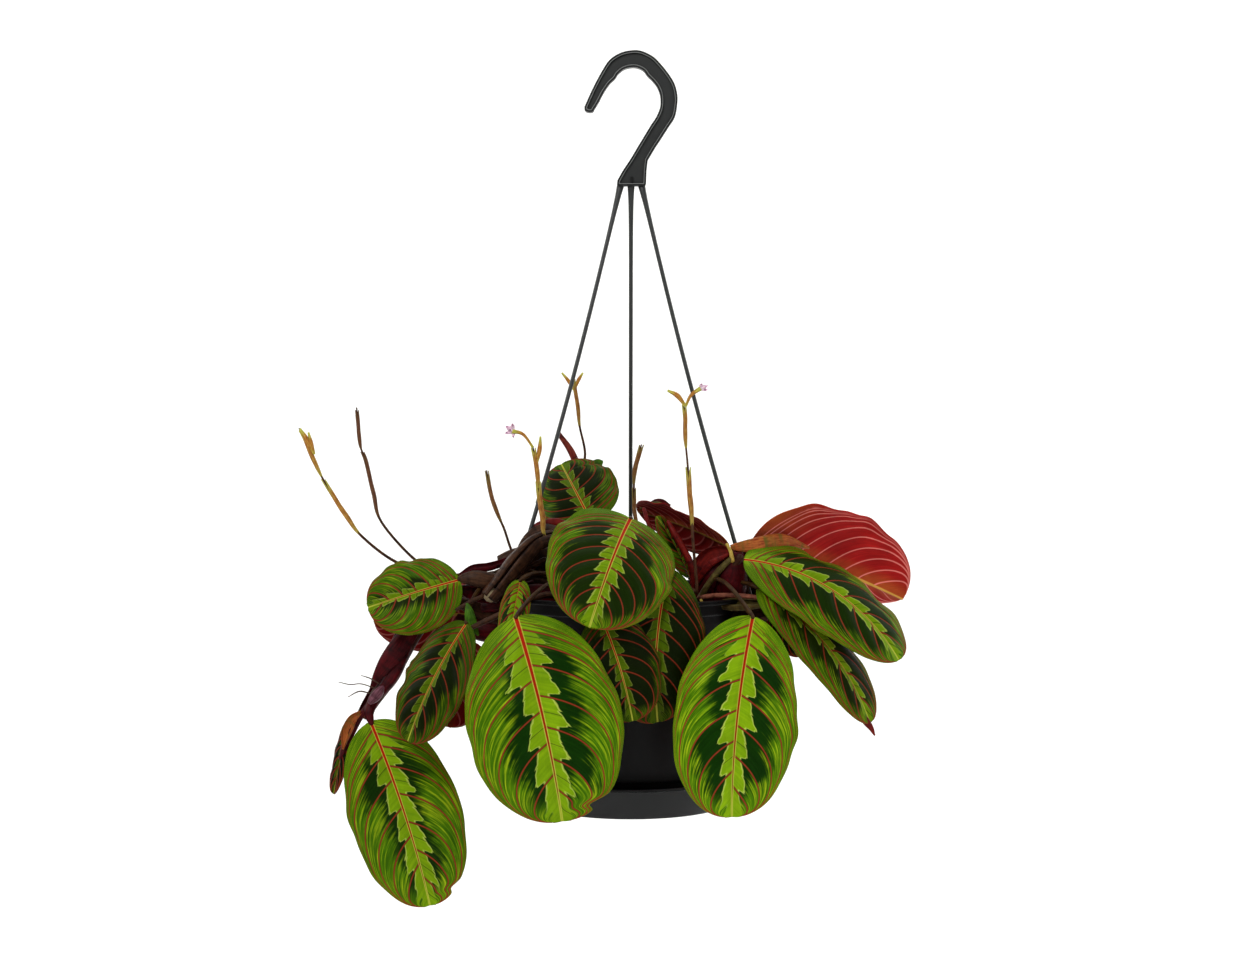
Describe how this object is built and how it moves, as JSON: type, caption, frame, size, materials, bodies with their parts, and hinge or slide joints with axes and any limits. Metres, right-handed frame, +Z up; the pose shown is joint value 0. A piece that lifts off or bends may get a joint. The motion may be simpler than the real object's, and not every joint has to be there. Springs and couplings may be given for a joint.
{
  "type": "prayer plant in a hanging pot",
  "caption": "Potted prayer plant with patterned oval leaves and thin flower stalks, in a tapered plastic pot with a clip-on saucer, hung from a moulded hook by strands.",
  "frame": {"origin": "inside of the hook's crown, where a rail carries the weight; the pot's axis hangs straight below it", "axes": "+Z up along the pot's axis, -Y towards the plant's front, +X to the right seen from the front"},
  "size_m": [0.3341, 0.2122, 0.4597],
  "materials": {
    "pot_plastic": "matt moulded black",
    "saucer_plastic": "satin moulded charcoal",
    "hanger_plastic": "satin moulded grey",
    "compost": "loose dark crumb",
    "leaf": "satin, green above with red veins, red below",
    "stalk": "satin brown green",
    "flower_stalk": "dry papery bracts"
  },
  "bodies": {
    "root": {"pot": "pot_plastic", "saucer": "saucer_plastic", "compost": "compost", "hook": "hanger_plastic", "strand_left": "hanger_plastic", "strand_right": "hanger_plastic", "strand_back": "hanger_plastic", "leaf_front_left": "leaf", "leaf_front_right": "leaf", "leaf_crown_front": "leaf", "leaf_crown_back": "leaf", "leaf_centre_low": "leaf", "leaf_centre_dark": "leaf", "leaf_left_small": "leaf", "leaf_left_under": "leaf", "leaf_left_mid": "leaf", "leaf_left_inner": "leaf", "leaf_left_upper": "leaf", "leaf_trailing": "leaf", "leaf_trailing_young": "leaf", "leaf_right_upper": "leaf", "leaf_right_lower": "leaf", "leaf_right_under": "leaf", "leaf_middle_under": "leaf", "leaf_right_young": "leaf", "leaf_crown_side": "leaf", "leaf_back_left": "leaf", "leaf_back_right": "leaf", "leaf_back_middle": "leaf", "leaf_back_far_right": "leaf", "leaf_back_far_left": "leaf", "petiole_front_left": "stalk", "petiole_front_right": "stalk", "petiole_crown_front": "stalk", "petiole_crown_back": "stalk", "petiole_centre_low": "stalk", "petiole_centre_dark": "stalk", "petiole_left_small": "stalk", "petiole_left_under": "stalk", "petiole_left_mid": "stalk", "petiole_left_inner": "stalk", "petiole_left_upper": "stalk", "petiole_right_lower": "stalk", "petiole_back_left": "stalk", "petiole_back_right": "stalk", "petiole_back_middle": "stalk", "petiole_back_far_right": "stalk", "petiole_back_far_left": "stalk", "shoot_trailing": "stalk", "shoot_left": "stalk", "shoot_right": "stalk", "flower_far_left": "flower_stalk", "flower_left": "flower_stalk", "flower_inner_left": "flower_stalk", "flower_open_left": "flower_stalk", "flower_back": "flower_stalk", "flower_middle": "flower_stalk", "flower_open_right": "flower_stalk", "rolled_leaf": "stalk"}
  },
  "joints": []
}
